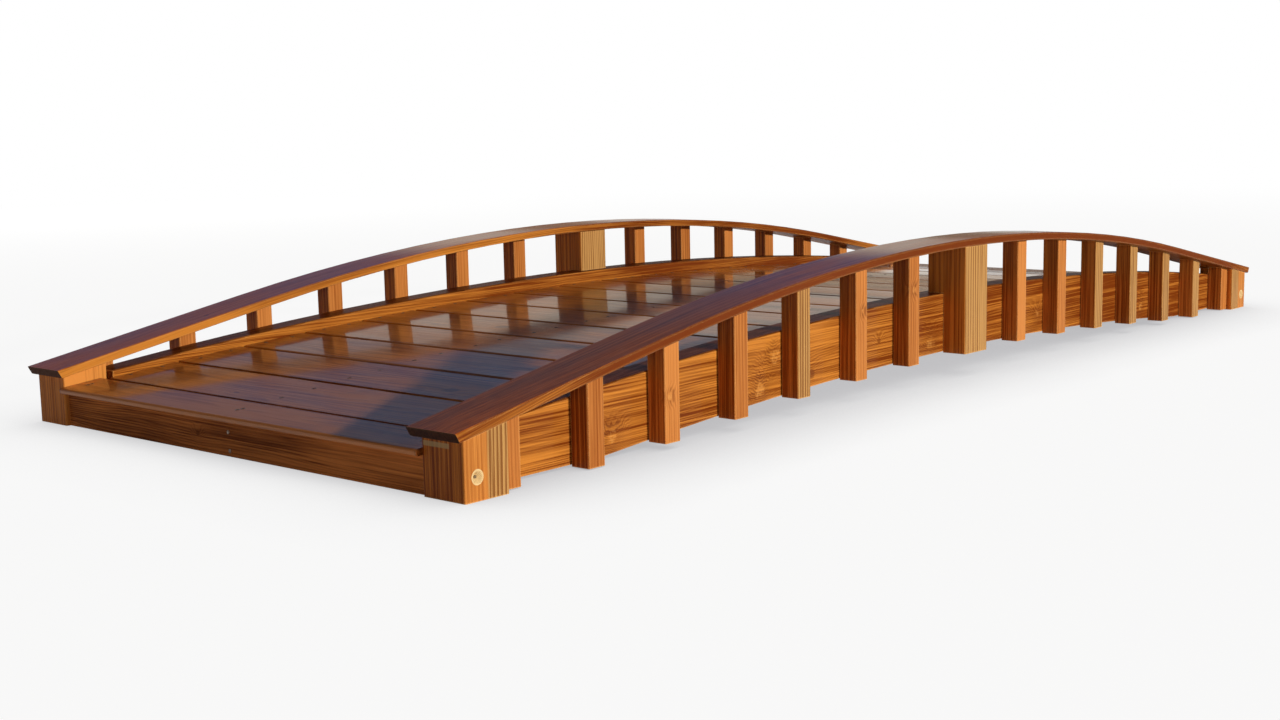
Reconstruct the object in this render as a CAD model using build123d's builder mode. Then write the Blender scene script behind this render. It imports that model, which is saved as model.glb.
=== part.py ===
from build123d import *
import math
import os

os.makedirs("parts", exist_ok=True)

# Moon bridge in stained softwood. X runs along the walk, Y across it, Z up.
# The origin is on the ground, under the middle of the arch.

# Plan of the bridge
post_line_length = 2884.0  # over the outer faces of the end posts
walk_width = 936.0  # clear between the two side stringers

# Posts and balusters
post_size = 89.0
post_lap = 37.5  # how far a post reaches in over the stringer's outer face
post_round = 3.0
baluster_size = 38.0
baluster_arris = 1.5
balusters_per_half = 7
centre_gap = 155.0  # clear space beside a centre post
baluster_drop = 3.0  # baluster foot below the stringer's lower edge

# Side stringers, arched above and below, with flat ends
stringer_thick = 57.0
stringer_crown = 171.0
stringer_radius = 11780.0
stringer_depth = 120.0  # at the middle
arch_half_span = 1100.0
stringer_foot = 5.0  # lower edge of the flat ends above the ground
kerb_round = 3.0

# Deck of planks laid across the walk, and what carries it
kerb_height = 26.0  # stringer above the deck at the middle
deck_radius = 14360.0
board_thick = 11.0
board_gap = 7.0
board_round = 4.0
boards_per_half = 9
nose_proud = 10.0  # the end plank stands out past the posts
nosing_depth = 88.5
nosing_round = 4.5
end_clear = 1.5  # plank ends to the wood beside them
centre_stringer_thick = 38.0
cleat_width = 32.0
cleat_depth = 30.0
header_thick = 34.0
header_setback = 8.0

# Handrails, bent over the posts and straight near the ends
rail_width = 106.0
rail_thick = 16.0
rail_round = 2.5
rail_lift = 97.0  # underside above the stringer at the middle
rail_radius = 5384.0
rail_slope = 10.48  # degrees, of the straight ends
rail_side_overhang = 4.0
rail_end_overhang = 10.0
rail_end_cut = 29.0  # degrees, of the end cut from upright
rail_overrun = 40.0  # spare length that the end cuts take off

# Counterbored bolt through each end post into the header
bolt_height = 36.0
bolt_pilot = 8.0
bolt_pilot_depth = 24.0
bolt_recess = 18.0
bolt_recess_depth = 10.0

# Places worked out from the sizes above
post_front = post_line_length / 2
post_back = post_front - post_size
stringer_inner = walk_width / 2
stringer_outer = stringer_inner + stringer_thick
post_inner = stringer_outer - post_lap
post_outer = post_inner + post_size
baluster_outer = stringer_outer + baluster_size
rail_outer = post_outer + rail_side_overhang
rail_middle = rail_outer - rail_width / 2
rail_end = post_front + rail_end_overhang
rail_run = rail_end + rail_overrun
header_front = post_front - header_setback
header_back = header_front - header_thick
nose = post_front + nose_proud
deck_half = nose - nosing_depth
board_pitch = deck_half / boards_per_half
baluster_last = post_size / 2 + centre_gap + baluster_size
baluster_pitch = (post_back - baluster_last) / (balusters_per_half - 1)
arch_crown = stringer_crown - stringer_depth
arch_rise = arch_crown - stringer_foot
deck_crown = stringer_crown - kerb_height
arch_radius = (arch_half_span**2 + arch_rise**2) / (2 * arch_rise)
rail_angle = math.radians(rail_slope)
cut_angle = math.radians(rail_end_cut)
rail_crown = stringer_crown + rail_lift
rail_bend_x = rail_radius * math.sin(rail_angle)
rail_bend_z = rail_crown - rail_radius * (1 - math.cos(rail_angle))
sides = (("right", -1), ("left", 1))
ends = (("front", -1), ("back", 1))


def arc_drop(radius, x):
    return radius - math.sqrt(radius**2 - x**2)


def rail_under(x):
    if abs(x) <= rail_bend_x:
        return rail_crown - arc_drop(rail_radius, x)
    return rail_bend_z - (abs(x) - rail_bend_x) * math.tan(rail_angle)


def stringer_top(x):
    return stringer_crown - arc_drop(stringer_radius, x)


def stringer_bottom(x):
    if abs(x) >= arch_half_span:
        return stringer_foot
    return arch_crown - arc_drop(arch_radius, x)


def deck_under(x):
    return deck_crown - board_thick - arc_drop(deck_radius, x)


# The planks lie flat between seams, so their seats are a chain of short flats
seams = [board_pitch * n for n in range(-boards_per_half, boards_per_half + 1)]
seat_xs = [-nose] + seams + [nose]
seats = [(x, deck_under(x)) for x in seat_xs]


def seat_height(x):
    for low, high in zip(seats, seats[1:]):
        if low[0] <= x <= high[0]:
            share = (x - low[0]) / (high[0] - low[0])
            return low[1] + share * (high[1] - low[1])


def side_plane(sign, inner, outer):
    # Upright plane along the walk, from which an extrusion runs towards -Y
    return Plane.XZ.offset(inner if sign < 0 else -outer)


# Side stringers, whose upper edges stand above the deck as kerbs
for side, sign in sides:
    with BuildPart() as stringer:
        with BuildSketch(side_plane(sign, stringer_inner, stringer_outer)):
            with BuildLine():
                end_top = stringer_top(post_back)
                ThreePointArc((-post_back, end_top), (0, stringer_crown), (post_back, end_top))
                Line((post_back, end_top), (post_back, stringer_foot))
                Line((post_back, stringer_foot), (arch_half_span, stringer_foot))
                ThreePointArc(
                    (arch_half_span, stringer_foot), (0, arch_crown), (-arch_half_span, stringer_foot)
                )
                Line((-arch_half_span, stringer_foot), (-post_back, stringer_foot))
                Line((-post_back, stringer_foot), (-post_back, end_top))
            make_face()
        extrude(amount=stringer_thick)
        top_edges = stringer.faces().filter_by(GeomType.CYLINDER).sort_by(Axis.Z)[-1].edges()
        fillet(top_edges.filter_by(GeomType.CIRCLE), radius=kerb_round)
    stringer.part.label = side + "_stringer"
    export_step(stringer.part, "parts/" + side + "_stringer.step")

# Centre stringer under the planks, between the two headers
with BuildPart() as centre_stringer:
    with BuildSketch(Plane.XZ.offset(-centre_stringer_thick / 2)):
        with BuildLine():
            header_seat = seat_height(header_back)
            top_points = [(-header_back, header_seat)] + seats[1:-1] + [(header_back, header_seat)]
            Polyline(*top_points)
            Line((header_back, header_seat), (header_back, stringer_foot))
            Line((header_back, stringer_foot), (arch_half_span, stringer_foot))
            ThreePointArc(
                (arch_half_span, stringer_foot), (0, arch_crown), (-arch_half_span, stringer_foot)
            )
            Line((-arch_half_span, stringer_foot), (-header_back, stringer_foot))
            Line((-header_back, stringer_foot), (-header_back, header_seat))
        make_face()
    extrude(amount=centre_stringer_thick)
centre_stringer.part.label = "centre_stringer"
export_step(centre_stringer.part, "parts/centre_stringer.step")

# Cleats along the stringers' inner faces, which carry the plank ends
for side, sign in sides:
    with BuildPart() as cleat:
        with BuildSketch(side_plane(sign, stringer_inner - cleat_width, stringer_inner)):
            with BuildLine():
                Polyline(*top_points)
                Line((header_back, header_seat), (header_back, header_seat - cleat_depth))
                ThreePointArc(
                    (header_back, header_seat - cleat_depth),
                    (0, deck_under(0) - cleat_depth),
                    (-header_back, header_seat - cleat_depth),
                )
                Line((-header_back, header_seat - cleat_depth), (-header_back, header_seat))
            make_face()
        extrude(amount=cleat_width)
    cleat.part.label = side + "_deck_cleat"
    export_step(cleat.part, "parts/" + side + "_deck_cleat.step")

# Headers between the end posts, closing the ends under the first plank
for end, sign in ends:
    with BuildPart() as header:
        with BuildSketch(Plane.XZ.offset(-post_inner)):
            with BuildLine():
                Polyline(
                    (sign * header_back, 0),
                    (sign * header_front, 0),
                    (sign * header_front, seat_height(header_front)),
                    (sign * header_back, header_seat),
                    close=True,
                )
            make_face()
        extrude(amount=2 * post_inner)
    header.part.label = end + "_header"
    export_step(header.part, "parts/" + end + "_header.step")

# Planks between the stringers, each lying flat on its seat
for number, (low, high) in enumerate(zip(seats[1:-2], seats[2:-1]), start=1):
    half_length = stringer_inner - end_clear
    run = math.dist(low, high)
    seat_plane = Plane(
        origin=(low[0], half_length, low[1]),
        x_dir=(high[0] - low[0], 0, high[1] - low[1]),
        z_dir=(0, -1, 0),
    )
    with BuildPart() as board:
        with BuildSketch(seat_plane):
            with Locations((run / 2, 0)):
                Rectangle(run - board_gap, board_thick, align=(Align.CENTER, Align.MIN))
        extrude(amount=2 * half_length)
        upper_edges = board.faces().sort_by(Axis.Z)[-1].edges().filter_by(Axis.Y)
        fillet(upper_edges, radius=board_round)
    board.part.label = f"deck_board_{number:02d}"
    export_step(board.part, f"parts/deck_board_{number:02d}.step")

# End planks between the posts, with a rounded nosing
for end, sign in ends:
    half_length = post_inner - end_clear
    inner_seat = (sign * deck_half, deck_under(deck_half))
    nose_seat = (sign * nose, deck_under(nose))
    run = math.dist(inner_seat, nose_seat)
    low = min(inner_seat, nose_seat)
    high = max(inner_seat, nose_seat)
    seat_plane = Plane(
        origin=(low[0], half_length, low[1]),
        x_dir=(high[0] - low[0], 0, high[1] - low[1]),
        z_dir=(0, -1, 0),
    )
    with BuildPart() as nosing:
        with BuildSketch(seat_plane):
            with Locations((run / 2 + sign * board_gap / 4, 0)):
                Rectangle(run - board_gap / 2, board_thick, align=(Align.CENTER, Align.MIN))
        extrude(amount=2 * half_length)
        outer_edges = nosing.edges().filter_by(Axis.Y).sort_by(Axis.X)
        front_edges = outer_edges[:2] if sign < 0 else outer_edges[-2:]
        fillet(front_edges, radius=nosing_round)
    nosing.part.label = end + "_nosing_board"
    export_step(nosing.part, "parts/" + end + "_nosing_board.step")

# End posts, cut to the slope of the rail, each with its counterbored bolt
for end, end_sign in ends:
    for side, sign in sides:
        with BuildPart() as post:
            with BuildSketch(side_plane(sign, post_inner, post_outer)):
                with BuildLine():
                    Polyline(
                        (end_sign * post_back, 0),
                        (end_sign * post_front, 0),
                        (end_sign * post_front, rail_under(post_front)),
                        (end_sign * post_back, rail_under(post_back)),
                        close=True,
                    )
                make_face()
            extrude(amount=post_size)
            fillet(post.edges().filter_by(Axis.Z), radius=post_round)
            bolt_x = end_sign * (header_front + header_back) / 2
            bolt_face = Plane(
                origin=(bolt_x, sign * post_outer, bolt_height), x_dir=(1, 0, 0), z_dir=(0, sign, 0)
            )
            with Locations(bolt_face):
                CounterBoreHole(
                    radius=bolt_pilot / 2,
                    counter_bore_radius=bolt_recess / 2,
                    counter_bore_depth=bolt_recess_depth,
                    depth=bolt_pilot_depth,
                )
        post.part.label = end + "_" + side + "_post"
        export_step(post.part, "parts/" + end + "_" + side + "_post.step")

# Centre posts, notched to sit on the crown of the stringer
for side, sign in sides:
    half = post_size / 2
    top = rail_under(half)
    with BuildPart() as centre_post:
        with BuildSketch(side_plane(sign, stringer_outer, post_outer)):
            with BuildLine():
                foot = stringer_bottom(half) - baluster_drop
                Polyline((-half, foot), (half, foot), (half, top), (-half, top), close=True)
            make_face()
        extrude(amount=post_outer - stringer_outer)
        with BuildSketch(side_plane(sign, post_inner, stringer_outer)):
            with BuildLine():
                Polyline(
                    (-half, stringer_crown), (half, stringer_crown), (half, top), (-half, top), close=True
                )
            make_face()
        extrude(amount=post_lap)
        corner_edges = centre_post.edges().filter_by(Axis.Z).group_by(Axis.Y)
        fillet(corner_edges[0] + corner_edges[-1], radius=post_round)
    centre_post.part.label = side + "_centre_post"
    export_step(centre_post.part, "parts/" + side + "_centre_post.step")

# Balusters on the stringers' outer faces, the first one against the end post
for end, end_sign in ends:
    for side, sign in sides:
        with BuildPart() as balusters:
            with BuildSketch(side_plane(sign, stringer_outer, baluster_outer)):
                for number in range(balusters_per_half):
                    far = post_back - number * baluster_pitch
                    near = far - baluster_size
                    foot = stringer_bottom(far) - baluster_drop
                    with BuildLine():
                        Polyline(
                            (end_sign * near, foot),
                            (end_sign * far, foot),
                            (end_sign * far, rail_under(far)),
                            (end_sign * near, rail_under(near)),
                            close=True,
                        )
                    make_face()
            extrude(amount=baluster_size)
            chamfer(balusters.edges().filter_by(Axis.Z), length=baluster_arris)
        balusters.part.label = end + "_" + side + "_balusters"
        export_step(balusters.part, "parts/" + end + "_" + side + "_balusters.step")

# Handrails swept along their bent underside
for side, sign in sides:
    with BuildPart() as handrail:
        with BuildLine(Plane.XZ.offset(-sign * rail_middle)) as rail_path:
            Line((-rail_run, rail_under(rail_run)), (-rail_bend_x, rail_bend_z))
            ThreePointArc((-rail_bend_x, rail_bend_z), (0, rail_crown), (rail_bend_x, rail_bend_z))
            Line((rail_bend_x, rail_bend_z), (rail_run, rail_under(rail_run)))
        section_plane = Plane(
            origin=(-rail_run, sign * rail_middle, rail_under(rail_run)),
            x_dir=(0, 1, 0),
            z_dir=(math.cos(rail_angle), 0, math.sin(rail_angle)),
        )
        with BuildSketch(section_plane):
            RectangleRounded(rail_width, rail_thick, rail_round, align=(Align.CENTER, Align.MIN))
        sweep(path=rail_path.line)
        for end, end_sign in ends:
            end_plane = Plane(
                origin=(end_sign * rail_end, sign * rail_middle, rail_under(rail_end)),
                x_dir=(0, 1, 0),
                z_dir=(end_sign * math.cos(cut_angle), 0, -math.sin(cut_angle)),
            )
            split(bisect_by=end_plane, keep=Keep.BOTTOM)
    handrail.part.label = side + "_handrail"
    export_step(handrail.part, "parts/" + side + "_handrail.step")
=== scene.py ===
import math

import bmesh
import bpy
from mathutils import Matrix, Vector


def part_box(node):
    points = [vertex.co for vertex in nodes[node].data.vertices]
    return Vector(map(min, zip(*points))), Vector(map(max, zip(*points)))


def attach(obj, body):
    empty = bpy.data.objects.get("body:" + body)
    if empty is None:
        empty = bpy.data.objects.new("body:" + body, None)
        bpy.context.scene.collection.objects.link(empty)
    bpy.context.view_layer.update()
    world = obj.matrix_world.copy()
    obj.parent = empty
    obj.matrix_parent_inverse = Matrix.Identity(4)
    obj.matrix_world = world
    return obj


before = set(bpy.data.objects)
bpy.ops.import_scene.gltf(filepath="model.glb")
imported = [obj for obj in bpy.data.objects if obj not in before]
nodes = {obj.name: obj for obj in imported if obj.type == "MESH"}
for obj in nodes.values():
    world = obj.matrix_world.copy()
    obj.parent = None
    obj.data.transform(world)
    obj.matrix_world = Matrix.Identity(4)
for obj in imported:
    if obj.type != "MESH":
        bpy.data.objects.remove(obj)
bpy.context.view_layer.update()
scene = bpy.context.scene
scene.view_settings.view_transform = "Standard"
print("bridge loaded:", len(nodes), "pieces")


# camera fitted to the photograph's edges, azimuth turned from +Y
cameraSettings = {
    "lens": 47.04,
    "sensor": 36.0,
    "clip": (0.05, 200.0),
    "place": (-3.0330, -2.2952, 0.5443),
    "azimuth": -48.98,
    "pitch": 8.32,
    "roll": -1.12,
}


def placeCamera(settings):
    turn, dip, roll = (math.radians(settings[key]) for key in ("azimuth", "pitch", "roll"))
    ahead = Vector((-math.sin(turn) * math.cos(dip), math.cos(turn) * math.cos(dip), -math.sin(dip)))
    level = Vector((math.cos(turn), math.sin(turn), 0))
    upright = level.cross(ahead)
    right = level * math.cos(roll) + upright * math.sin(roll)
    up = upright * math.cos(roll) - level * math.sin(roll)
    data = bpy.data.cameras.new("bridgeCamera")
    data.sensor_width = settings["sensor"]
    data.lens = settings["lens"]
    data.clip_start, data.clip_end = settings["clip"]
    camera = bpy.data.objects.new("bridgeCamera", data)
    axes = Matrix((right, up, -ahead)).transposed().to_4x4()
    camera.matrix_world = Matrix.Translation(Vector(settings["place"])) @ axes
    scene.collection.objects.link(camera)
    scene.camera = camera


placeCamera(cameraSettings)
print("camera placed")


# helpers for node trees
def addNode(tree, kind, **values):
    node = tree.nodes.new(kind)
    for key, value in values.items():
        setattr(node, key, value)
    return node


def feed(tree, socket, value):
    if isinstance(value, bpy.types.NodeSocket):
        tree.links.new(value, socket)
    else:
        socket.default_value = value


def calc(tree, operation, first, second=0.0):
    node = addNode(tree, "ShaderNodeMath", operation=operation)
    feed(tree, node.inputs[0], first)
    feed(tree, node.inputs[1], second)
    return node.outputs[0]


def total(tree, *terms):
    result = terms[0]
    for term in terms[1:]:
        result = calc(tree, "ADD", result, term)
    return result


def product(tree, *factors):
    result = factors[0]
    for factor in factors[1:]:
        result = calc(tree, "MULTIPLY", result, factor)
    return result


def scaled(tree, value, factor, middle=0.0):
    if middle:
        value = calc(tree, "SUBTRACT", value, middle)
    return calc(tree, "MULTIPLY", value, factor)


def ease(tree, value, low, high, start=0.0, end=1.0):
    node = addNode(tree, "ShaderNodeMapRange", interpolation_type="SMOOTHSTEP")
    for socket, item in zip(node.inputs, (value, low, high, start, end)):
        feed(tree, socket, item)
    return node.outputs[0]


def vectorMath(tree, operation, first, second=(0, 0, 0)):
    node = addNode(tree, "ShaderNodeVectorMath", operation=operation)
    feed(tree, node.inputs[0], first)
    feed(tree, node.inputs[1], second)
    return node.outputs["Value" if operation in ("LENGTH", "DOT_PRODUCT") else "Vector"]


def split(tree, value):
    node = addNode(tree, "ShaderNodeSeparateXYZ")
    feed(tree, node.inputs[0], value)
    return node.outputs


def join(tree, *values):
    node = addNode(tree, "ShaderNodeCombineXYZ")
    for socket, value in zip(node.inputs, values):
        feed(tree, socket, value)
    return node.outputs[0]


def blend(tree, share, first, second, mode="MIX"):
    node = addNode(tree, "ShaderNodeMix", data_type="RGBA", blend_type=mode)
    sockets = (node.inputs[0], node.inputs[6], node.inputs[7])  # factor and the two colours
    for socket, value in zip(sockets, (share, first, second)):
        feed(tree, socket, value)
    return node.outputs[2]


noiseMiddle = 0.5  # noise swings round this


def noise(tree, place, stretch, detail=2.0, rough=0.5):
    node = addNode(tree, "ShaderNodeTexNoise")
    feed(tree, node.inputs["Vector"], vectorMath(tree, "MULTIPLY", place, stretch))
    for key, value in (("Scale", 1.0), ("Detail", detail), ("Roughness", rough)):
        node.inputs[key].default_value = value
    return node.outputs[0]


def newGroup(name, inputs, outputs):
    group = bpy.data.node_groups.new(name, "ShaderNodeTree")
    for label, kind, value in inputs:
        socket = group.interface.new_socket(name=label, in_out="INPUT", socket_type="NodeSocket" + kind)
        if value is not None:
            socket.default_value = value
    for label in outputs:
        group.interface.new_socket(name=label, in_out="OUTPUT", socket_type="NodeSocketFloat")
    given = group.nodes.new("NodeGroupInput").outputs
    return group, given, group.nodes.new("NodeGroupOutput").inputs


def useGroup(tree, group, **values):
    node = addNode(tree, "ShaderNodeGroup", node_tree=group)
    for key, value in values.items():
        feed(tree, node.inputs[key], value)
    return node.outputs


# growth rings, fibres and scattered pin knots, with X of Place along the grain
grainSettings = {
    "seedSteps": (3.71, 1.93, 5.37),
    "slant": 0.85,
    "knotCells": (4.2, 13.0),  # cells in a metre, along and across
    "knotStretch": 1.3,
    "knotLeast": 0.5,
    "knotEdge": (0.55, 1.05),
    "swirl": (0.4, 3.6),
    "swirlLift": 0.006,
    "drift": {"stretch": (1.0, 8.0, 8.0), "rough": 0.45},  # slow lean of the rings
    "shiver": {"stretch": (6.0, 70.0, 70.0), "detail": 1.0},
    "shiverLift": 0.0016,
    "ringRise": (0.2, 0.85),
    "ringFall": (0.86, 1.0),
    "lateWood": {"stretch": (0.9, 26.0, 26.0)},
    "lateRange": (0.3, 0.66, 0.25, 1.0),
    "fibre": {"stretch": (9.0, 560.0, 560.0), "detail": 3.0, "rough": 0.65},
    "streak": {"stretch": (2.6, 230.0, 230.0), "detail": 3.0, "rough": 0.6},
    "blotch": {"stretch": (2.6, 11.0, 11.0), "detail": 3.0, "rough": 0.55},
}


def makeGrainFigure(settings):
    inputs = [
        ("Place", "Vector", None), ("Seed", "Float", 0.0), ("RingWidth", "Float", 0.005),
        ("Slope", "Float", 0.8), ("Wander", "Float", 0.06), ("KnotSize", "Float", 0.008),
        ("KnotShare", "Float", 0.1), ("Push", "Float", 0.0),
    ]
    outputs = ["Ring", "LateWood", "Fibre", "Streak", "Blotch", "Knot"]
    group, given, out = newGroup("grainFigure", inputs, outputs)
    shift = join(group, *(scaled(group, given["Seed"], step) for step in settings["seedSteps"]))
    place = vectorMath(group, "ADD", given["Place"], shift)
    along, across, deep = split(group, place)
    slant = total(group, across, scaled(group, deep, settings["slant"]))

    # pin knots sit in some of the cells
    cellsAlong, cellsAcross = settings["knotCells"]
    cells = join(group, scaled(group, along, cellsAlong), scaled(group, slant, cellsAcross), 0.0)
    knots = addNode(group, "ShaderNodeTexVoronoi", voronoi_dimensions="2D")
    feed(group, knots.inputs["Vector"], cells)
    knots.inputs["Scale"].default_value = 1.0
    away = vectorMath(group, "SUBTRACT", cells, knots.outputs["Position"])
    cellSize = (cellsAlong * settings["knotStretch"], cellsAcross, 1.0)
    reach = vectorMath(group, "LENGTH", vectorMath(group, "DIVIDE", away, cellSize))
    luck = addNode(group, "ShaderNodeSeparateColor")
    feed(group, luck.inputs[0], knots.outputs["Color"])
    picked = calc(group, "LESS_THAN", luck.outputs[0], given["KnotShare"])
    size = product(group, given["KnotSize"], total(group, luck.outputs[1], settings["knotLeast"]))
    ratio = calc(group, "DIVIDE", reach, size)
    knot = product(group, picked, ease(group, ratio, *settings["knotEdge"], 1.0, 0.0))
    swirl = product(group, picked, ease(group, ratio, *settings["swirl"], 1.0, 0.0))

    # rings climb across the grain and are pushed round the knots
    climb = total(
        group,
        product(group, slant, given["Slope"]),
        product(group, noise(group, place, **settings["drift"]), given["Wander"]),
        scaled(group, noise(group, place, **settings["shiver"]), settings["shiverLift"]),
        scaled(group, swirl, settings["swirlLift"]),
        given["Push"],
    )
    turn = calc(group, "FRACT", calc(group, "DIVIDE", climb, given["RingWidth"]))
    rise = ease(group, turn, *settings["ringRise"])
    fall = ease(group, turn, *settings["ringFall"], 1.0, 0.0)
    ring = product(group, rise, fall)
    strength = ease(group, noise(group, place, **settings["lateWood"]), *settings["lateRange"])
    feed(group, out["Ring"], ring)
    feed(group, out["LateWood"], product(group, ring, strength))
    feed(group, out["Fibre"], noise(group, place, **settings["fibre"]))
    feed(group, out["Streak"], noise(group, place, **settings["streak"]))
    feed(group, out["Blotch"], noise(group, place, **settings["blotch"]))
    feed(group, out["Knot"], knot)
    return group


# one larger knot at a chosen place, with the rings pushed round it
knotSettings = {
    "ripple": {"stretch": (45.0, 45.0, 45.0), "detail": 3.0, "rough": 0.6},
    "rippleLift": 2.2,
    "crumbs": {"stretch": (190.0, 190.0, 190.0), "rough": 0.6},
    "crumbEdge": (0.36, 0.6),
    "heart": (0.3, 0.9),
    "rimFrom": (0.5, 0.9),
    "rimTo": (0.9, 2.6),
    "push": (0.2, 3.6),
    "pushLift": 0.010,
}


def makePlacedKnot(settings):
    inputs = [("Place", "Vector", None), ("Centre", "Vector", None), ("Size", "Float", 0.015)]
    group, given, out = newGroup("placedKnot", inputs, ["Heart", "Rim", "Push"])
    away = vectorMath(group, "LENGTH", vectorMath(group, "SUBTRACT", given["Place"], given["Centre"]))
    ripple = noise(group, given["Place"], **settings["ripple"])
    crumbs = ease(group, noise(group, given["Place"], **settings["crumbs"]), *settings["crumbEdge"])
    ratio = calc(group, "DIVIDE", away, given["Size"])
    ratio = total(group, ratio, scaled(group, ripple, settings["rippleLift"], noiseMiddle))
    rimFrom = ease(group, ratio, *settings["rimFrom"])
    rimTo = ease(group, ratio, *settings["rimTo"], 1.0, 0.0)
    feed(group, out["Heart"], product(group, ease(group, ratio, *settings["heart"], 1.0, 0.0), crumbs))
    feed(group, out["Rim"], product(group, rimFrom, rimTo))
    push = ease(group, ratio, *settings["push"], 1.0, 0.0)
    feed(group, out["Push"], scaled(group, push, settings["pushLift"]))
    return group


# which way a surface faces, and whether it cuts across the fibres
faceSettings = {
    "top": (0.45, 0.85),
    "under": (-0.6, -0.3),
    "endGrain": (0.6, 0.8),
    "flank": (0.3, 0.7),
    "brow": (0.4, 0.8),
    "leastVarnish": 0.1,
}


def makeFaceMasks(settings):
    outputs = ["Top", "EndGrain", "Flank", "Brow", "Varnish"]
    group, given, out = newGroup("faceMasks", [("GrainWay", "Vector", None)], outputs)
    normal = addNode(group, "ShaderNodeNewGeometry").outputs["Normal"]
    cut = calc(group, "ABSOLUTE", vectorMath(group, "DOT_PRODUCT", normal, given["GrainWay"]))
    ahead, across, rise = split(group, normal)
    feed(group, out["Top"], ease(group, rise, *settings["top"]))
    feed(group, out["EndGrain"], ease(group, cut, *settings["endGrain"]))
    feed(group, out["Flank"], ease(group, calc(group, "ABSOLUTE", across), *settings["flank"]))
    feed(group, out["Brow"], ease(group, calc(group, "ABSOLUTE", ahead), *settings["brow"]))
    longGrain = ease(group, cut, *settings["endGrain"], 1.0, settings["leastVarnish"])
    notUnder = ease(group, rise, *settings["under"], settings["leastVarnish"], 1.0)
    feed(group, out["Varnish"], product(group, longGrain, notUnder))
    return group


# painted edge shading along the arrises: a painted highlight on most woods, painted shade along the seams of
# the deck
paintedEdgeSettings = {
    "samples": 6,
    "corner": (0.86, 0.994),
    "patches": {"stretch": (28.0, 28.0, 28.0), "detail": 3.0, "rough": 0.6},
    "patchEdge": (0.35, 0.65),
}


def makeEdgeRub(settings):
    inputs = [("Width", "Float", 0.004), ("Breakup", "Float", 0.5)]
    group, given, out = newGroup("edgeRub", inputs, ["Rub"])
    normal = addNode(group, "ShaderNodeNewGeometry").outputs["Normal"]
    bevel = addNode(group, "ShaderNodeBevel", samples=settings["samples"])
    feed(group, bevel.inputs["Radius"], given["Width"])
    likeness = vectorMath(group, "DOT_PRODUCT", normal, bevel.outputs[0])
    corner = ease(group, likeness, *settings["corner"], 1.0, 0.0)
    place = addNode(group, "ShaderNodeTexCoord").outputs["Object"]
    patches = ease(group, noise(group, place, **settings["patches"]), *settings["patchEdge"])
    spared = product(group, given["Breakup"], calc(group, "SUBTRACT", 1.0, patches))
    feed(group, out["Rub"], product(group, corner, calc(group, "SUBTRACT", 1.0, spared)))
    return group


grainFigure = makeGrainFigure(grainSettings)
placedKnot = makePlacedKnot(knotSettings)
faceMasks = makeFaceMasks(faceSettings)
edgeRub = makeEdgeRub(paintedEdgeSettings)
print("wood node groups built")


def newMaterial(name):
    material = bpy.data.materials.new(name)
    material.use_nodes = True
    tree = material.node_tree
    coords = addNode(tree, "ShaderNodeTexCoord").outputs["Object"]
    return material, tree, tree.nodes["Principled BSDF"], coords


def pieceValue(tree, name):
    return addNode(tree, "ShaderNodeAttribute", attribute_type="OBJECT", attribute_name=name).outputs["Fac"]


# each stick of a group has its own grain and tone
def tellSticksApart(tree, sticks, x, seed, tone):
    stick = calc(tree, "FLOOR", calc(tree, "DIVIDE", total(tree, x, sticks["reach"]), sticks["pitch"]))
    swing = calc(tree, "SINE", scaled(tree, stick, sticks["toneTurn"]))
    seed = total(tree, seed, scaled(tree, stick, sticks["seedStep"]))
    return seed, total(tree, tone, scaled(tree, swing, sticks["toneSwing"]))


# a darker edge, least on the front half of the left rail and at the ends
def edgeTone(tree, edge, x, y, flank):
    along = ease(tree, calc(tree, "ABSOLUTE", x), *edge["ends"], edge["tone"], edge["endTone"])
    rightRail = ease(tree, y, *edge["sides"], 1.0, edge["leftShare"])
    side = calc(tree, "MAXIMUM", rightRail, ease(tree, x, *edge["backHalf"]))
    return product(tree, flank, along, side)


# coarse open bands between two places along X
def addStripes(tree, stripes, x, figure, tone, flank, colour):
    begin, finish = pieceValue(tree, "stripeFrom"), pieceValue(tree, "stripeTo")
    enter = ease(tree, x, begin, total(tree, begin, stripes["fade"]))
    leave = ease(tree, x, total(tree, finish, -stripes["fade"]), finish, 1.0, 0.0)
    band = product(tree, enter, leave, scaled(tree, flank, stripes["share"]))
    bars = total(
        tree,
        scaled(tree, figure["Ring"], stripes["ring"]),
        scaled(tree, figure["Fibre"], stripes["fibre"], stripes["fibreMiddle"]),
        scaled(tree, figure["Streak"], stripes["streak"], stripes["streakMiddle"]),
        scaled(tree, tone, stripes["tone"]),
    )
    stripe = blend(tree, ease(tree, bars, *stripes["bars"]), stripes["pale"], stripes["dark"])
    return blend(tree, band, colour, stripe)


# a painted patch of light on the post just under the rail end
def addPaintedLightStrip(tree, strip, axes, colour):
    fade = strip["fade"]
    litPatch = strip["share"]
    for axis, low, high in zip(axes, strip["low"], strip["high"]):
        enter = ease(tree, axis, low - fade, low + fade)
        leave = ease(tree, axis, high - fade, high + fade, 1.0, 0.0)
        litPatch = product(tree, litPatch, enter, leave)
    return blend(tree, litPatch, colour, strip["colour"])


# values that all the stained woods share
stainSettings = {
    "pinKnotShare": 0.7,
    "heartShare": 0.4,
    "rimRings": (0.0, 0.6, 0.15, 0.6),
    "browStreaks": (0.44, 0.58),
    "roughStreak": 0.25,
    "roughEnd": 0.15,
    "bumpDistance": 0.0008,
    "bumpShares": {"LateWood": 0.8, "Fibre": 0.6, "Knot": -0.5},
    "coatBlotch": 1.2,
    "coatLeast": 0.4,
}


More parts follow.
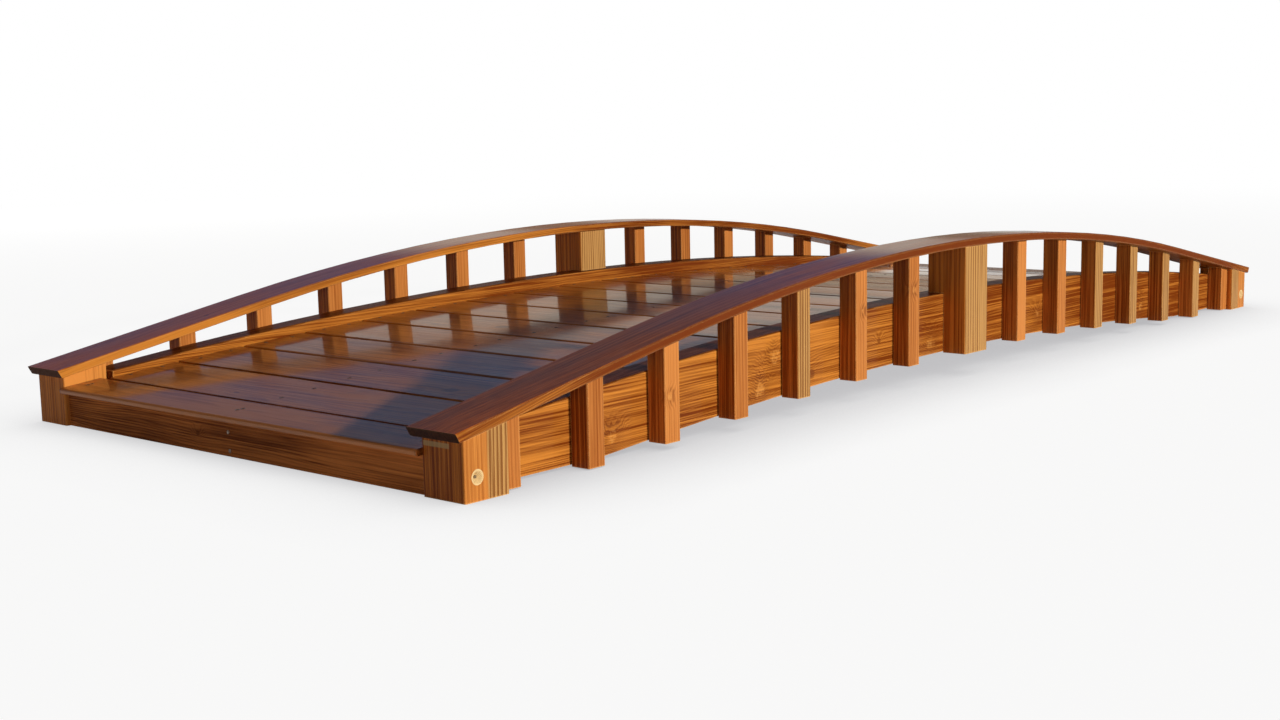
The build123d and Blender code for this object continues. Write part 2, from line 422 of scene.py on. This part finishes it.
# stained and varnished softwood, one material for each kind of piece
def makeStainedWood(name, wood):
    stain = stainSettings
    material, tree, shader, coords = newMaterial(name)
    x, y, z = split(tree, coords)
    if wood["bend"]:  # the grain follows the arch
        z = total(tree, z, scaled(tree, product(tree, x, x), wood["bend"]))
    place = join(tree, *{"x": (x, y, z), "y": (y, x, z), "z": (z, x, y)}[wood["grain"]])
    way = {"x": (1, 0, 0), "y": (0, 1, 0), "z": (0, 0, 1)}[wood["grain"]]
    masks = useGroup(tree, faceMasks, GrainWay=way)
    seed, tone = pieceValue(tree, "grainSeed"), pieceValue(tree, "toneShift")
    if wood["sticks"]:
        seed, tone = tellSticksApart(tree, wood["sticks"], x, seed, tone)
    if wood["edge"]:
        tone = total(tree, tone, edgeTone(tree, wood["edge"], x, y, masks["Flank"]))
    for begin, end, added in wood["backTones"]:  # the back half took more stain
        tone = total(tree, tone, ease(tree, x, begin, end, 0.0, added))

    push, heart, rim = 0.0, 0.0, 0.0
    for spot in wood["knotSpots"]:
        knot = useGroup(tree, placedKnot, Place=coords, Centre=spot[:3], Size=spot[3])
        push = total(tree, knot["Push"], push)
        heart = total(tree, knot["Heart"], heart)
        rim = total(tree, knot["Rim"], rim)
    figure = useGroup(
        tree, grainFigure, Place=place, Seed=seed, RingWidth=wood["ringWidth"], Slope=wood["slope"],
        Wander=wood["wander"], KnotSize=wood["knotSize"], KnotShare=wood["knotShare"], Push=push,
    )

    # how deep the stain sank in
    depth = total(
        tree, tone, wood["depth"],
        scaled(tree, figure["LateWood"], wood["figure"]),
        scaled(tree, figure["Streak"], wood["streak"], noiseMiddle),
        scaled(tree, figure["Fibre"], wood["fibre"], noiseMiddle),
        scaled(tree, figure["Blotch"], wood["blotch"], noiseMiddle),
    )
    clamped = addNode(tree, "ShaderNodeClamp")
    feed(tree, clamped.inputs[0], depth)
    colour = blend(tree, clamped.outputs[0], wood["pale"], wood["deep"])
    if wood["stripes"]:
        colour = addStripes(tree, wood["stripes"], x, figure, tone, masks["Flank"], colour)
    colour = blend(tree, scaled(tree, figure["Knot"], stain["pinKnotShare"]), colour, wood["knot"])
    if wood["knotSpots"]:
        colour = blend(tree, scaled(tree, heart, stain["heartShare"]), colour, wood["knotHeart"])
        rings = ease(tree, figure["LateWood"], *stain["rimRings"])
        colour = blend(tree, product(tree, rim, rings), colour, wood["knot"])

    # tops and the faces that look along the walk are tinted darker and redder, painted shade for a light from
    # low down, with darker streaks of grain on those faces; end cuts take the stain darker
    top = scaled(tree, masks["Top"], wood["topShadeShare"])
    colour = blend(tree, top, colour, wood["topShadeTint"], "MULTIPLY")
    endCut = scaled(tree, masks["EndGrain"], wood["endShare"])
    colour = blend(tree, endCut, colour, wood["endTint"], "MULTIPLY")
    brow = scaled(tree, masks["Brow"], wood["browShadeShare"])
    colour = blend(tree, brow, colour, wood["browShadeTint"], "MULTIPLY")
    lines = product(tree, brow, ease(tree, figure["Streak"], *stain["browStreaks"]))
    colour = blend(tree, lines, colour, wood["browLines"], "MULTIPLY")
    # painted light on the post under the rail end
    if wood["paintedLightStrip"]:
        colour = addPaintedLightStrip(tree, wood["paintedLightStrip"], (x, y, z), colour)
    # painted edge shading: a highlight along the arrises, or shade along the deck's seams
    edgeShading = useGroup(tree, edgeRub, Width=wood["edgeShadingWidth"], Breakup=wood["edgeShadingBreakup"])["Rub"]
    if wood["edgeShadingStop"]:  # hardly any painted edge highlight round the end cuts
        edgeShading = product(tree, edgeShading, ease(tree, calc(tree, "ABSOLUTE", x), *wood["edgeShadingStop"]))
    colour = blend(tree, scaled(tree, edgeShading, wood["edgeShading"]), colour, wood["edgeShadingColour"])
    feed(tree, shader.inputs["Base Color"], colour)

    rough = total(
        tree, wood["roughness"],
        scaled(tree, figure["Streak"], stain["roughStreak"], noiseMiddle),
        scaled(tree, masks["EndGrain"], stain["roughEnd"]),
    )
    feed(tree, shader.inputs["Roughness"], rough)
    bump = addNode(tree, "ShaderNodeBump")
    bump.inputs["Strength"].default_value = wood["bump"]
    bump.inputs["Distance"].default_value = stain["bumpDistance"]
    relief = total(tree, *(scaled(tree, figure[key], share) for key, share in stain["bumpShares"].items()))
    feed(tree, bump.inputs["Height"], relief)
    feed(tree, shader.inputs["Normal"], bump.outputs[0])
    shader.inputs["Specular IOR Level"].default_value = wood["specular"]

    patchy = total(tree, scaled(tree, figure["Blotch"], stain["coatBlotch"]), stain["coatLeast"])
    coat = scaled(tree, patchy, wood["coat"])
    if wood["edge"]:  # thin on the rail's edges
        coat = product(tree, coat, ease(tree, masks["Flank"], 0.0, 1.0, 1.0, wood["edge"]["coatShare"]))
    if wood["backCoat"]:  # thicker on the back half
        coat = product(tree, coat, ease(tree, x, *wood["backCoat"]))
    feed(tree, shader.inputs["Coat Weight"], product(tree, coat, masks["Varnish"]))
    shader.inputs["Coat Roughness"].default_value = wood["coatRoughness"]
    return material


sideWood = {
    "grain": "x", "bend": 0.0, "sticks": None, "edge": None, "backTones": (), "knotSpots": (),
    "stripes": None, "paintedLightStrip": None, "edgeShadingStop": None, "backCoat": None,
    "ringWidth": 0.0026, "slope": 0.8, "wander": 0.07, "knotSize": 0.007, "knotShare": 0.08,
    "depth": 0.30, "figure": 0.42, "streak": 1.7, "fibre": 1.0, "blotch": 1.6, "bump": 0.3,
    "pale": (0.60, 0.225, 0.035, 1), "deep": (0.17, 0.034, 0.004, 1),
    "knot": (0.17, 0.045, 0.010, 1), "knotHeart": (0.72, 0.36, 0.10, 1),
    "edgeShading": 0.5, "edgeShadingWidth": 0.0055, "edgeShadingBreakup": 0.45, "edgeShadingColour": (0.84, 0.44, 0.15, 1),
    "topShadeShare": 0.0, "topShadeTint": (0.46, 0.32, 0.36, 1),
    "endShare": 0.7, "endTint": (0.30, 0.22, 0.20, 1),
    "browShadeShare": 0.0, "browShadeTint": (1.0, 0.84, 0.62, 1), "browLines": (0.66, 0.57, 0.50, 1),
    "roughness": 0.46, "specular": 0.04, "coat": 0.07, "coatRoughness": 0.12,
}

railEdge = {
    "tone": 0.65, "endTone": 0.195, "ends": (1.0, 1.3), "sides": (-0.1, 0.1), "leftShare": 0.25,
    "backHalf": (-0.5, 0.2), "coatShare": 0.15,
}
# its tops are tinted darker and redder, painted shade, and its arrises carry a painted highlight
railWood = dict(
    sideWood, bend=0.093, edge=railEdge, knotShare=0.03, depth=0.38, blotch=1.5,
    topShadeShare=1.0, topShadeTint=(1.0, 0.55, 0.34, 1), endShare=1.0, endTint=(0.10, 0.07, 0.06, 1),
    edgeShading=0.6, edgeShadingBreakup=0.3, edgeShadingColour=(0.86, 0.5, 0.2, 1), edgeShadingStop=(1.425, 1.445, 1.0, 0.1),
    coat=0.5, coatRoughness=0.07,
)

stringerSpots = (  # X, Y, Z and size of a knot
    (-0.674, -0.525, 0.056, 0.017), (-1.070, -0.525, 0.035, 0.015), (-0.096, -0.525, 0.072, 0.016),
    (-0.628, -0.525, 0.108, 0.018), (0.36, -0.525, 0.09, 0.012), (0.52, 0.525, 0.08, 0.016),
    (-0.83, 0.525, 0.06, 0.014), (0.9, -0.525, 0.05, 0.013),
)
# its kerb tops are tinted darker, painted shade
stringerWood = dict(
    sideWood, knotSpots=stringerSpots, backTones=((-0.85, 0.2, 0.30), (0.45, 0.75, 0.18)),
    wander=0.06, slope=0.75, streak=2.7, figure=0.45, depth=0.34,
    topShadeShare=1.0, topShadeTint=(0.40, 0.27, 0.23, 1),
)

postStripes = {
    "pale": (0.52, 0.29, 0.10, 1), "dark": (0.22, 0.090, 0.025, 1), "fade": 0.006, "share": 0.95,
    "ring": 0.75, "fibre": 0.7, "fibreMiddle": 0.4, "streak": 1.6, "streakMiddle": 0.45, "tone": 0.5,
    "bars": (0.1, 0.8),
}
paintedLightStrip = {
    "low": (-1.46, -0.546, 0.0775), "high": (-1.43, -0.491, 0.0850), "fade": 0.0012,
    "share": 0.7, "colour": (0.50, 0.36, 0.18, 1),
}
# faces that look along the walk are tinted darker and redder, painted shade, and the light edge shading is a
# painted highlight
postWood = dict(
    sideWood, grain="z", stripes=postStripes, paintedLightStrip=paintedLightStrip, browShadeShare=1.0,
    ringWidth=0.0062, wander=0.03, knotShare=0.03, depth=0.24, figure=0.34, streak=1.4, blotch=0.9,
    pale=(0.71, 0.285, 0.063, 1), deep=(0.28, 0.072, 0.010, 1),
    edgeShading=0.75, edgeShadingWidth=0.0042, edgeShadingBreakup=0.5, edgeShadingColour=(0.86, 0.50, 0.19, 1),
)

balusterSticks = {"reach": 1.423, "pitch": 0.1859, "seedStep": 0.37, "toneTurn": 2.3, "toneSwing": 0.2}
balusterSpots = (
    (-0.969, -0.563, 0.088, 0.008), (-0.400, -0.563, 0.172, 0.008), (-0.220, -0.563, 0.197, 0.008),
)
balusterWood = dict(
    postWood, paintedLightStrip=None, sticks=balusterSticks, knotSpots=balusterSpots,
    ringWidth=0.006, knotShare=0.02, pale=(0.62, 0.238, 0.060, 1), deep=(0.27, 0.072, 0.012, 1),
)

# its dark edge shading is painted shade along the plank seams
deckWood = dict(
    sideWood, grain="y", ringWidth=0.006, slope=0.35, wander=0.12, knotSize=0.011,
    streak=1.9, fibre=0.5, blotch=2.4, pale=(0.63, 0.210, 0.042, 1), deep=(0.27, 0.070, 0.012, 1),
    edgeShading=0.8, edgeShadingWidth=0.008, edgeShadingBreakup=0.6, edgeShadingColour=(0.030, 0.013, 0.008, 1),
    roughness=0.34, coat=0.44, coatRoughness=0.08, backCoat=(-0.2, 0.4, 1.0, 2.0),
)
headerWood = dict(
    sideWood, grain="y", pale=(0.72, 0.250, 0.068, 1), deep=(0.19, 0.046, 0.010, 1),
    edgeShading=0.15, blotch=2.6, specular=0.0, coat=0.03,
)
bearerWood = dict(headerWood, grain="x")

woods = {  # the first word that a piece's name holds picks its wood
    "handrail": makeStainedWood("railStain", railWood),
    "post": makeStainedWood("postStain", postWood),
    "balusters": makeStainedWood("balusterStain", balusterWood),
    "board": makeStainedWood("deckStain", deckWood),
    "header": makeStainedWood("headerStain", headerWood),
    "cleat": makeStainedWood("cleatStain", bearerWood),
    "centre_stringer": makeStainedWood("bearerStain", bearerWood),
    "stringer": makeStainedWood("stringerStain", stringerWood),
}

pieceSettings = {
    "seedStart": 0.13, "seedStep": 0.61, "toneTurn": 2.4, "toneSwing": 0.1, "boardSwing": 0.2,
    # set shifts: the paler front left post and left handrail are painted light for the stronger light on
    # them, and the paler centre posts are paler timber, partly painted light on their shaded faces
    "toneAndPaintedLightShifts": {
        "front_left_post": -0.45, "front_right_post": 0.17, "back_right_balusters": -0.15,
        "right_stringer": 0.0, "right_centre_post": -0.45, "left_centre_post": -0.45,
        "left_handrail": -0.3,
    },
    "stripes": {  # from and to along X
        "right_centre_post": (-1.0, 1.0), "left_centre_post": (-1.0, 1.0),
        "front_right_post": (-1.399, 1.0), "back_right_post": (1.34, 1.40),
        "front_right_balusters": (-0.613, -0.566), "back_right_balusters": (0.55, 1.18),
    },
    "noStripes": (9.0, 10.0),
}


def layStain(settings):
    for index, name in enumerate(sorted(nodes)):
        piece = nodes[name]
        kind = next(key for key in woods if key in name)
        swing = settings["boardSwing" if kind == "board" else "toneSwing"]
        shift = swing * math.sin(index * settings["toneTurn"])
        piece["grainSeed"] = settings["seedStep"] * index + settings["seedStart"]
        piece["toneShift"] = settings["toneAndPaintedLightShifts"].get(name, shift)
        piece["stripeFrom"], piece["stripeTo"] = settings["stripes"].get(name, settings["noStripes"])
        piece.data.materials.clear()
        piece.data.materials.append(woods[kind])


layStain(pieceSettings)
print("stain laid on", len(nodes), "pieces")


# small hardware
def meshPiece(name, mesh, material):
    data = bpy.data.meshes.new(name)
    bmesh.ops.recalc_face_normals(mesh, faces=mesh.faces)
    mesh.to_mesh(data)
    mesh.free()
    data.materials.append(material)
    piece = bpy.data.objects.new(name, data)
    scene.collection.objects.link(piece)
    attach(piece, "root")


def seatOn(place, outward):
    return Matrix.Translation(place) @ outward.to_track_quat("Z", "Y").to_matrix().to_4x4()


# turned solid: rings of (radius, height), closed at both ends
def turned(mesh, seat, rings, sides, bite=None):
    loops = []
    for level, (radius, height) in enumerate(rings):
        loop = []
        for step in range(sides):
            angle = math.tau * step / sides
            reach = radius * (bite(level, step) if bite else 1.0)
            spot = Vector((math.cos(angle) * reach, math.sin(angle) * reach, height))
            loop.append(mesh.verts.new(seat @ spot))
        loops.append(loop)
    mesh.faces.new(loops[0])
    mesh.faces.new(loops[-1])
    for low, high in zip(loops, loops[1:]):
        for i in range(sides):
            j = (i + 1) % sides
            mesh.faces.new((low[i], low[j], high[j], high[i]))


metalSettings = {
    "spots": {"stretch": (260.0, 260.0, 260.0), "detail": 3.0, "rough": 0.6},
    "spotFade": 0.25, "shine": 0.875, "shineLost": 0.7, "rough": 0.34, "roughGained": 0.35,
}


def makeMetal(name, metal):
    material, tree, shader, coords = newMaterial(name)
    spots = noise(tree, coords, **metal["spots"])
    tarnish = ease(tree, spots, metal["clean"], metal["clean"] + metal["spotFade"])
    feed(tree, shader.inputs["Base Color"], blend(tree, tarnish, metal["bright"], metal["dull"]))
    shine = total(tree, scaled(tree, tarnish, -metal["shineLost"]), metal["shine"])
    feed(tree, shader.inputs["Metallic"], shine)
    rough = total(tree, scaled(tree, tarnish, metal["roughGained"]), metal["rough"])
    feed(tree, shader.inputs["Roughness"], rough)
    return material


screwTones = {"clean": 0.36, "bright": (0.30, 0.25, 0.20, 1), "dull": (0.12, 0.055, 0.028, 1)}
boltTones = {"clean": 0.3, "bright": (0.26, 0.21, 0.15, 1), "dull": (0.20, 0.14, 0.08, 1)}
screwMetal = makeMetal("screwMetal", dict(metalSettings, **screwTones))
boltMetal = makeMetal("boltMetal", dict(metalSettings, **boltTones))

deckScrews = {
    "radius": 0.0042, "sides": 12, "inset": 0.036, "rows": (-0.452, 0.0, 0.452),
    "profile": ((1.0, -0.0008), (1.0, 0.0001), (0.9, 0.0004), (0.42, 0.0004), (0.3, -0.0006)),
    "recess": 1.5, "recessLevels": (3, 4), "recessEvery": 3,  # the cross of a countersunk head
    "sway": 0.005, "swayAlong": 91, "swayAcross": 37,
    "edge": 0.001, "nose": 0.012,  # where a plank's upper corners are looked for
}


def setScrew(mesh, seat, screw):
    def crossBite(level, step):
        inCross = level in screw["recessLevels"] and step % screw["recessEvery"] == 0
        return screw["recess"] if inCross else 1.0

    rings = [(share * screw["radius"], height) for share, height in screw["profile"]]
    turned(mesh, seat, rings, screw["sides"], crossBite)


def setDeckScrews(screws):
    mesh = bmesh.new()
    for name in sorted(nodes):
        if "board" not in name:
            continue
        low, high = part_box(name)
        edge = [v.co for v in nodes[name].data.vertices if v.co.y < low.y + screws["edge"]]
        front = max((v for v in edge if v.x < low.x + screws["nose"]), key=lambda v: v.z)
        back = max((v for v in edge if v.x > high.x - screws["nose"]), key=lambda v: v.z)
        run = Vector((back.x - front.x, 0, back.z - front.z))
        outward = Vector((-run.z, 0, run.x)).normalized()
        inset = screws["inset"] / run.length
        for y in screws["rows"]:
            for share in (inset, 1 - inset):
                spot = front + run * share
                sway = screws["sway"] * math.sin(spot.x * screws["swayAlong"] + y * screws["swayAcross"])
                setScrew(mesh, seatOn(Vector((spot.x, y + sway, spot.z)), outward), screws)
    meshPiece("deck_screws", mesh, screwMetal)


setDeckScrews(deckScrews)
print("deck screws set")

headerNails = {
    "radius": 0.0036, "sides": 14, "spots": ((-0.0016, 0.041), (-0.0042, 0.0096)),  # Y and Z
    "profile": ((1.0, -0.001), (1.0, 0.0004), (0.7, 0.0009), (0.2, 0.0010)),
}


def setHeaderNails(nails):
    mesh = bmesh.new()
    rings = [(share * nails["radius"], height) for share, height in nails["profile"]]
    for name, side in (("front_header", -1), ("back_header", 1)):
        low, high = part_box(name)
        face = low.x if side < 0 else high.x
        for y, z in nails["spots"]:
            turned(mesh, seatOn(Vector((face, y, z)), Vector((side, 0, 0))), rings, nails["sides"])
    meshPiece("header_nails", mesh, screwMetal)


setHeaderNails(headerNails)
print("header nails set")


# bare wood in the counterbores of the end posts
bareSettings = {
    "pale": (0.82, 0.62, 0.33, 1), "deep": (0.56, 0.34, 0.13, 1),
    "ringWidth": 0.0016, "slope": 0.8, "wander": 0.01, "lateWood": 0.5, "streak": 0.9, "streakMiddle": 0.3,
    "rough": 0.6, "roughFibre": 0.3, "specular": 0.2,
}


def makeBareWood(name, wood):
    material, tree, shader, coords = newMaterial(name)
    figure = useGroup(
        tree, grainFigure, Place=coords, RingWidth=wood["ringWidth"], Slope=wood["slope"],
        Wander=wood["wander"], KnotShare=0.0,
    )
    shade = total(
        tree,
        scaled(tree, figure["LateWood"], wood["lateWood"]),
        scaled(tree, figure["Streak"], wood["streak"], wood["streakMiddle"]),
    )
    colour = blend(tree, ease(tree, shade, 0.0, 1.0), wood["pale"], wood["deep"])
    feed(tree, shader.inputs["Base Color"], colour)
    rough = total(tree, wood["rough"], scaled(tree, figure["Fibre"], wood["roughFibre"], noiseMiddle))
    feed(tree, shader.inputs["Roughness"], rough)
    shader.inputs["Specular IOR Level"].default_value = wood["specular"]
    return material


bareWood = makeBareWood("bareWood", bareSettings)

# a funnel of bare wood in each counterbore, with a small bolt head at its foot
postBolts = {
    "x": 1.417, "y": 0.5765, "z": 0.036,
    "mouth": 0.009, "depth": 0.010, "flare": 0.0028, "cupSides": 32,
    "foot": 0.006, "footRadius": 0.0036, "tip": 0.0004, "skin": 0.0004,
    "mouthRound": 0.0006, "lip": 0.0004, "lipEdge": 0.0003,
    "flareRound": 0.0005, "flareUnder": 0.0006, "flareRoot": 0.0016,
    "boltSides": 6, "boltProfile": ((0.0030, -0.0004), (0.0030, 0.0012), (0.0025, 0.0016), (0.0010, 0.0016)),
}


def boreCup(mesh, seat, bolt):
    mouth, skin = bolt["mouth"], bolt["skin"]
    flare = mouth + bolt["flare"]
    rings = [
        (bolt["tip"], -bolt["foot"]),
        (bolt["footRadius"], -bolt["foot"]),
        (mouth - bolt["mouthRound"], -skin),
        (mouth + bolt["mouthRound"], bolt["lip"]),
        (flare, bolt["lipEdge"]),
        (flare + bolt["flareRound"], -bolt["flareUnder"]),
        (mouth + skin, -bolt["flareRoot"]),
        (mouth + skin, -skin - bolt["depth"]),
        (bolt["tip"], -skin - bolt["depth"]),
    ]
    turned(mesh, seat, rings, bolt["cupSides"])


def setPostBolts(bolt):
    cups, metal = bmesh.new(), bmesh.new()
    rings = [(radius, height - bolt["foot"]) for radius, height in bolt["boltProfile"]]
    for sideX in (-1, 1):
        for sideY in (-1, 1):
            place = Vector((sideX * bolt["x"], sideY * bolt["y"], bolt["z"]))
            seat = seatOn(place, Vector((0, sideY, 0)))
            boreCup(cups, seat, bolt)
            turned(metal, seat, rings, bolt["boltSides"])
    meshPiece("bolt_cups", cups, bareWood)
    meshPiece("post_bolts", metal, boltMetal)


setPostBolts(postBolts)
print("post bolts set")


# pale floor, soft lamps and white surroundings
def seenDirectly(tree):
    path = addNode(tree, "ShaderNodeLightPath").outputs
    bounced = calc(tree, "MAXIMUM", path["Is Glossy Ray"], path["Is Transmission Ray"])
    return calc(tree, "MAXIMUM", path["Is Camera Ray"], bounced)


floorSettings = {
    "radius": 16.0, "segments": 96, "colour": (0.86, 0.855, 0.85, 1),
    "whiteNear": 0.92, "fade": (2.2, 9.0),
    "contact": 0.3, "contactSamples": 8, "shade": (0.48, 0.48, 0.50, 1), "lit": (1, 1, 1, 1),
    "mirroredBack": (0.16, 0.11, 0.08, 1), "backFrom": (1.6, 2.6), "backTo": (5.0, 8.0),
}


def makePaleFloor(settings):
    material = bpy.data.materials.new("paleFloor")
    material.use_nodes = True
    tree = material.node_tree
    tree.nodes.clear()
    place = addNode(tree, "ShaderNodeTexCoord").outputs["Object"]
    reach = vectorMath(tree, "LENGTH", place)

    # what is seen of it is white, with a shadow where the bridge stands close
    hidden = addNode(tree, "ShaderNodeAmbientOcclusion", samples=settings["contactSamples"])
    hidden.inputs["Distance"].default_value = settings["contact"]
    seen = blend(tree, hidden.outputs["AO"], settings["shade"], settings["lit"])
    backFrom = ease(tree, split(tree, place)[0], *settings["backFrom"])
    backTo = ease(tree, reach, *settings["backTo"], 1.0, 0.0)
    glossy = addNode(tree, "ShaderNodeLightPath").outputs["Is Glossy Ray"]
    mirrored = product(tree, glossy, backFrom, backTo)  # the varnish mirrors a darker floor past the back end
    glow = addNode(tree, "ShaderNodeEmission")
    feed(tree, glow.inputs["Color"], blend(tree, mirrored, seen, settings["mirroredBack"]))

    diffuse = addNode(tree, "ShaderNodeBsdfDiffuse")
    diffuse.inputs["Color"].default_value = settings["colour"]
    white = ease(tree, reach, *settings["fade"], settings["whiteNear"], 1.0)
    upper = addNode(tree, "ShaderNodeMixShader")
    feed(tree, upper.inputs[0], product(tree, seenDirectly(tree), white))
    tree.links.new(diffuse.outputs[0], upper.inputs[1])
    tree.links.new(glow.outputs[0], upper.inputs[2])
    both = addNode(tree, "ShaderNodeMixShader")  # clear from below
    feed(tree, both.inputs[0], addNode(tree, "ShaderNodeNewGeometry").outputs["Backfacing"])
    tree.links.new(upper.outputs[0], both.inputs[1])
    tree.links.new(addNode(tree, "ShaderNodeBsdfTransparent").outputs[0], both.inputs[2])
    tree.links.new(both.outputs[0], addNode(tree, "ShaderNodeOutputMaterial").inputs[0])
    return material


def makeFloor(settings):
    mesh = bmesh.new()
    bmesh.ops.create_circle(mesh, cap_ends=True, radius=settings["radius"], segments=settings["segments"])
    data = bpy.data.meshes.new("studioFloor")
    mesh.to_mesh(data)
    mesh.free()
    data.materials.append(makePaleFloor(settings))
    floor = bpy.data.objects.new("studioFloor", data)
    scene.collection.objects.link(floor)


# mirrored tones are listed by height, from level upwards, and sit lower towards the back end
domeSettings = {
    "inView": (1, 1, 1, 1),
    "fillColour": (1.0, 0.97, 0.93, 1), "fillLow": 0.31, "fillHigh": 0.018, "fillTurn": (0.06, 0.4),
    "backTurn": (0.67, 1.0), "backDrop": 0.055,
    "mirrored": (
        (0.035, (0.92, 0.86, 0.78, 1)),
        (0.070, (0.36, 0.26, 0.17, 1)), (0.112, (0.36, 0.26, 0.17, 1)),
        (0.140, (1.00, 0.88, 0.74, 1)), (0.190, (1.00, 0.88, 0.74, 1)),
        (0.228, (0.075, 0.172, 0.36, 1)), (0.290, (0.075, 0.172, 0.36, 1)),
        (0.390, (0.16, 0.17, 0.19, 1)),
    ),
}


def makeDome(settings):
    world = bpy.data.worlds.new("studioDome")
    scene.world = world
    world.use_nodes = True
    tree = world.node_tree
    dome = tree.nodes["Background"]
    way = split(tree, addNode(tree, "ShaderNodeTexCoord").outputs["Generated"])
    ahead, height = way[0], way[2]
    tones = addNode(tree, "ShaderNodeValToRGB")
    stops = tones.color_ramp.elements
    stops.remove(stops[1])
    for index, (level, colour) in enumerate(settings["mirrored"]):
        stop = stops.new(level) if index else stops[0]
        stop.position, stop.color = level, colour
    lowered = scaled(tree, ease(tree, ahead, *settings["backTurn"]), settings["backDrop"])
    feed(tree, tones.inputs[0], total(tree, height, lowered))
    seen = seenDirectly(tree)
    inView = addNode(tree, "ShaderNodeLightPath").outputs["Is Camera Ray"]
    mirrored = blend(tree, seen, settings["fillColour"], tones.outputs[0])
    feed(tree, dome.inputs["Color"], blend(tree, inView, mirrored, settings["inView"]))
    fill = ease(tree, height, *settings["fillTurn"], settings["fillLow"], settings["fillHigh"])
    feed(tree, dome.inputs["Strength"], ease(tree, seen, 0.0, 1.0, fill, 1.0))


lampSettings = {
    "keyLamp": {
        "azimuth": -89.0, "elevation": 12.0, "distance": 18.0,
        "size": (1.2, 0.4), "level": 1.0, "colour": (1.0, 0.94, 0.84),
    },
    "rearLamp": {
        "azimuth": 70.0, "elevation": 5.0, "distance": 9.0,
        "size": (3.0, 1.0), "level": 0.55, "colour": (1.0, 0.96, 0.9),
    },
    "frontLamp": {
        "azimuth": -152.0, "elevation": 6.0, "distance": 9.0,
        "size": (3.0, 1.0), "level": 0.055, "colour": (1.0, 0.95, 0.88),
    },
}


def makeLamp(name, lamp):
    turn, lift = math.radians(lamp["azimuth"]), math.radians(lamp["elevation"])
    way = Vector((math.cos(turn) * math.cos(lift), math.sin(turn) * math.cos(lift), math.sin(lift)))
    data = bpy.data.lights.new(name, "AREA")
    data.shape = "RECTANGLE"
    data.size, data.size_y = lamp["size"]
    data.energy = lamp["level"] * (math.pi * lamp["distance"]) ** 2  # level 1 shows a colour as written
    data.color = lamp["colour"]
    item = bpy.data.objects.new(name, data)
    item.visible_glossy = False  # the varnish mirrors no lamp
    item.location = way * lamp["distance"]
    item.rotation_euler = way.to_track_quat("Z", "Y").to_euler()
    scene.collection.objects.link(item)


makeFloor(floorSettings)
makeDome(domeSettings)
for lampName, lamp in lampSettings.items():
    makeLamp(lampName, lamp)
print("studio lit")
